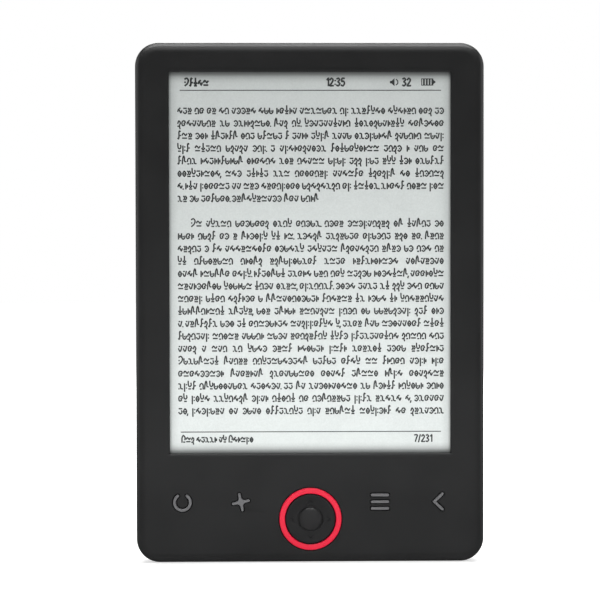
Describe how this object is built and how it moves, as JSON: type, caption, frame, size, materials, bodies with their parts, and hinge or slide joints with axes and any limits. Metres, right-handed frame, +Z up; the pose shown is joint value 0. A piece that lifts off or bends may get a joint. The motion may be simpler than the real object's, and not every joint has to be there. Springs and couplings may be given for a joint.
{
  "type": "e-paper reader",
  "caption": "Slim hand-held e-paper reader with a recessed screen, four glyph keys, and a four-way rocker with a centre button inside a red ring.",
  "frame": {"origin": "middle of the bottom edge, half way through the full depth, on the plane that the reader stands on", "axes": "+Z up along the reader's height, -Y out of the screen, +X to the right of someone who faces the screen"},
  "size_m": [0.1124, 0.0094, 0.1678],
  "materials": {
    "shell": "black moulded plastic with a fine satin grain",
    "keys": "dark satin",
    "glyph": "mid grey satin",
    "trim_red": "bright red satin",
    "epaper": "matte light grey film",
    "glass": "thin backplane glass",
    "foam": "black closed-cell foam",
    "flex": "amber polyimide",
    "chip": "black moulded package",
    "board": "green solder mask",
    "steel": "stamped or turned",
    "screw": "blackened",
    "connector": "natural nylon",
    "actuator": "black acetal",
    "pouch": "laminate pouch",
    "frame_plastic": "dark grey moulding",
    "wire_red": "insulated wire",
    "wire_black": "insulated wire"
  },
  "bodies": {
    "reader_body": {"front_housing": "shell", "rear_cover": "shell", "epaper_film": "epaper", "display_gasket": "foam", "display_glass": "glass", "display_driver": "chip", "display_ribbon": "flex", "display_connector": "connector", "nav_trim_ring": "trim_red", "key_board": "board", "dome_rotate": "steel", "dome_zoom": "steel", "dome_menu": "steel", "dome_back": "steel", "dome_up": "steel", "dome_down": "steel", "dome_left": "steel", "dome_right": "steel", "dome_ok": "steel", "key_ribbon": "flex", "key_connector": "connector", "main_board": "board", "processor": "chip", "memory_chip": "chip", "boost_inductor": "chip", "shield_can": "steel", "usb_port_shell": "steel", "usb_port_tongue": "chip", "card_slot": "steel", "audio_jack": "chip", "power_switch": "steel", "power_switch_stem": "actuator", "mid_frame": "frame_plastic", "battery_cell": "pouch", "battery_adhesive": "foam", "battery_circuit": "flex", "battery_connector": "connector", "battery_plug": "connector", "battery_lead_red": "wire_red", "battery_lead_black": "wire_black", "cover_screw_1": "screw", "cover_screw_2": "screw", "cover_screw_3": "screw", "cover_screw_4": "screw", "frame_screw_1": "screw", "frame_screw_2": "screw", "frame_screw_3": "screw", "frame_screw_4": "screw", "board_screw_1": "screw", "board_screw_2": "screw", "board_screw_3": "screw", "board_screw_4": "screw"},
    "rotate_key": {"key_rotate": "glyph"},
    "zoom_key": {"key_zoom": "glyph"},
    "menu_key": {"key_menu": "glyph"},
    "back_key": {"key_back": "glyph"},
    "ok_key": {"ok_button": "keys"},
    "gimbal": {"nav_gimbal": "actuator"},
    "rocker": {"nav_rocker": "keys"},
    "power_key": {"power_button": "keys"}
  },
  "joints": [
    {"name": "rotate_press", "type": "slide", "parent": "reader_body", "child": "rotate_key", "axis": [0, 1, 0], "range_m": [0, 0.00025], "stiffness_N_per_m": 800},
    {"name": "zoom_press", "type": "slide", "parent": "reader_body", "child": "zoom_key", "axis": [0, 1, 0], "range_m": [0, 0.00025], "stiffness_N_per_m": 800},
    {"name": "menu_press", "type": "slide", "parent": "reader_body", "child": "menu_key", "axis": [0, 1, 0], "range_m": [0, 0.00025], "stiffness_N_per_m": 800},
    {"name": "back_press", "type": "slide", "parent": "reader_body", "child": "back_key", "axis": [0, 1, 0], "range_m": [0, 0.00025], "stiffness_N_per_m": 800},
    {"name": "ok_press", "type": "slide", "parent": "reader_body", "child": "ok_key", "axis": [0, 1, 0], "range_m": [0, 0.00025], "stiffness_N_per_m": 800},
    {"name": "nav_up_down", "type": "hinge", "parent": "reader_body", "child": "gimbal", "pos_m": [0, -0.0024, 0.0142], "axis": [1, 0, 0], "range_deg": [-1.8, 1.8], "stiffness_Nm_per_rad": 0.15},
    {"name": "nav_left_right", "type": "hinge", "parent": "gimbal", "child": "rocker", "pos_m": [0, -0.00265, 0.0142], "axis": [0, 0, 1], "range_deg": [-1.8, 1.8], "stiffness_Nm_per_rad": 0.15},
    {"name": "power_press", "type": "slide", "parent": "reader_body", "child": "power_key", "axis": [0, 0, 1], "range_m": [0, 0.00025], "stiffness_N_per_m": 800}
  ]
}
